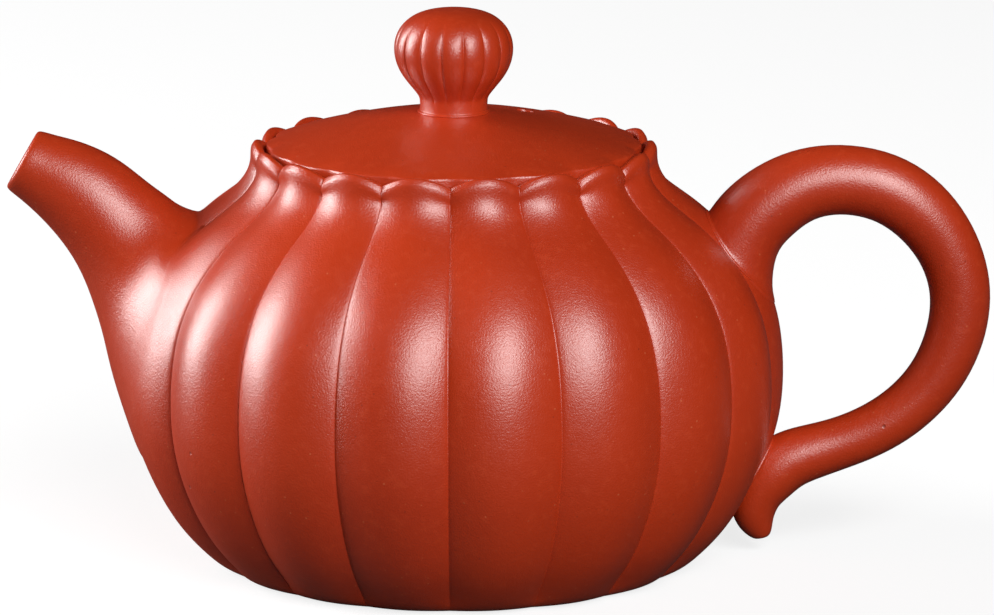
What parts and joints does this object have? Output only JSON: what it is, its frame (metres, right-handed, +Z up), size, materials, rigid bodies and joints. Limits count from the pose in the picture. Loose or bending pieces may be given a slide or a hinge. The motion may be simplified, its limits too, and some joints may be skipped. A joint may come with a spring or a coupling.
{
  "type": "teapot",
  "caption": "Small round clay teapot with ribbed lobes, a curved spout, an ear-shaped loop handle and a loose domed lid with a ball knob, for brewing and pouring tea.",
  "frame": {"origin": "on the pot's axis, in the plane of the ring it stands on", "axes": "+Z up along the pot's axis, -X towards the spout, +X towards the handle"},
  "size_m": [0.1296, 0.0864, 0.0731],
  "materials": {
    "clay": "unglazed satin red clay"
  },
  "bodies": {
    "pot": {"base_disc": "clay", "belly_wall": "clay", "neck_collar": "clay", "seat_ring": "clay", "spout": "clay", "strainer": "clay", "handle": "clay"},
    "lid": {"lid_plate": "clay", "lid_flange": "clay", "knob": "clay"}
  },
  "joints": [
    {"name": "lid_lift", "type": "slide", "parent": "pot", "child": "lid", "axis": [0, 0, 1], "range_m": [0, 0.04]}
  ]
}
